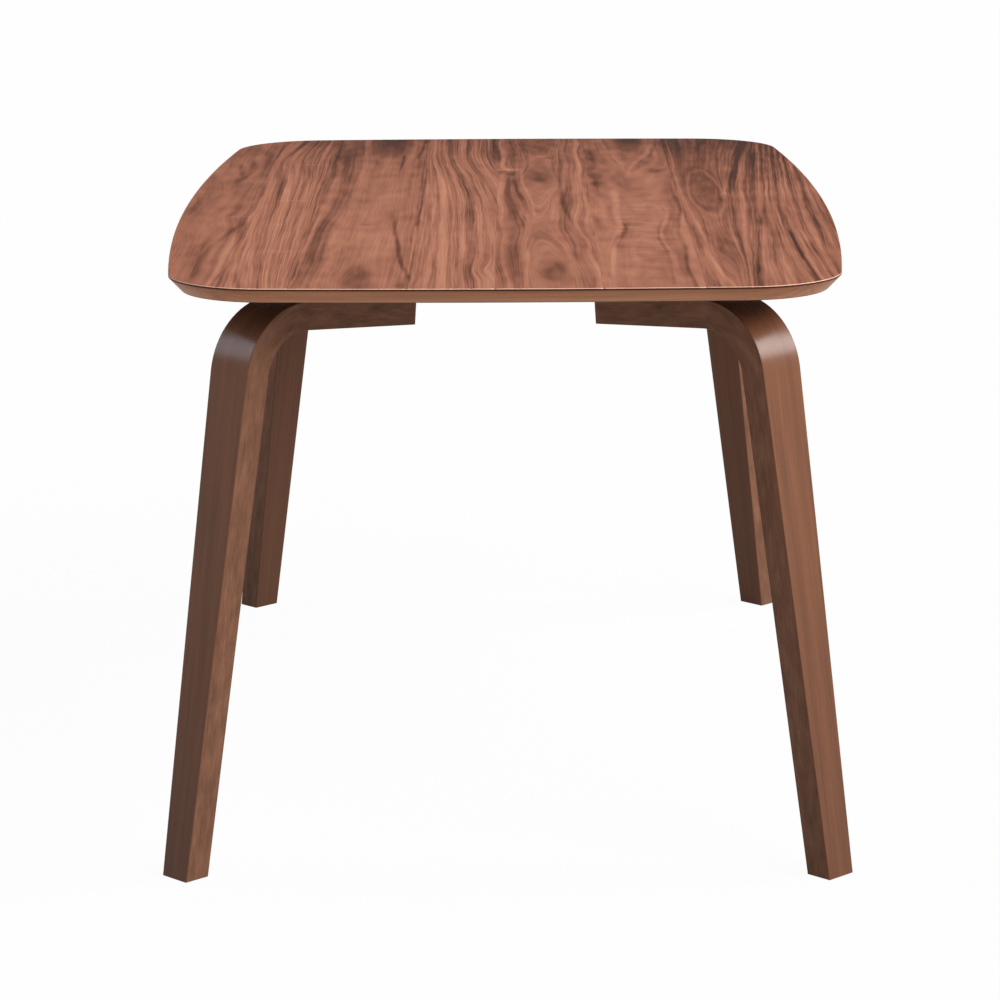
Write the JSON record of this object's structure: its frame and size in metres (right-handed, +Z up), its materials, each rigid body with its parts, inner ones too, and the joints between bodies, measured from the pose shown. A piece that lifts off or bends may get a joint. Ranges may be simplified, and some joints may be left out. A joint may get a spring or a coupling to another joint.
{
  "type": "dining table",
  "caption": "Rectangular dining table with a thin, bowed, veneered top and bent plywood legs that splay out at its corners.",
  "frame": {"origin": "on the floor, under the middle of the top", "axes": "+Z up, Y along the table, X across it"},
  "size_m": [0.9, 1.5, 0.76],
  "materials": {
    "panel_core": "matt",
    "balancing_veneer": "satin",
    "face_veneer": "satin lacquer",
    "edge_lipping": "satin lacquer",
    "leg_laminate": "satin lacquer",
    "leg_veneer": "satin lacquer",
    "block_wood": "matt",
    "glide_nylon": "matt",
    "zinc_steel": "zinc plated",
    "insert_brass": "bright"
  },
  "bodies": {
    "root": {"top_core": "panel_core", "top_backing_veneer": "balancing_veneer", "top_veneer_leaf_1": "face_veneer", "top_veneer_leaf_2": "face_veneer", "top_veneer_leaf_3": "face_veneer", "top_veneer_leaf_4": "face_veneer", "top_veneer_leaf_5": "face_veneer", "top_veneer_leaf_6": "face_veneer", "top_veneer_leaf_7": "face_veneer", "edge_lipping_front": "edge_lipping", "edge_lipping_back": "edge_lipping", "edge_lipping_left": "edge_lipping", "edge_lipping_right": "edge_lipping", "leg_core_front_left": "leg_laminate", "leg_outer_veneer_front_left": "leg_veneer", "leg_inner_veneer_front_left": "leg_veneer", "mounting_block_front_left": "block_wood", "foot_glide_front_left": "glide_nylon", "leg_core_front_right": "leg_laminate", "leg_outer_veneer_front_right": "leg_veneer", "leg_inner_veneer_front_right": "leg_veneer", "mounting_block_front_right": "block_wood", "foot_glide_front_right": "glide_nylon", "leg_core_back_left": "leg_laminate", "leg_outer_veneer_back_left": "leg_veneer", "leg_inner_veneer_back_left": "leg_veneer", "mounting_block_back_left": "block_wood", "foot_glide_back_left": "glide_nylon", "leg_core_back_right": "leg_laminate", "leg_outer_veneer_back_right": "leg_veneer", "leg_inner_veneer_back_right": "leg_veneer", "mounting_block_back_right": "block_wood", "foot_glide_back_right": "glide_nylon", "leg_bolts": "zinc_steel", "leg_bolt_washers": "zinc_steel", "threaded_inserts": "insert_brass", "block_screws": "zinc_steel", "glide_screws": "zinc_steel"}
  },
  "joints": []
}
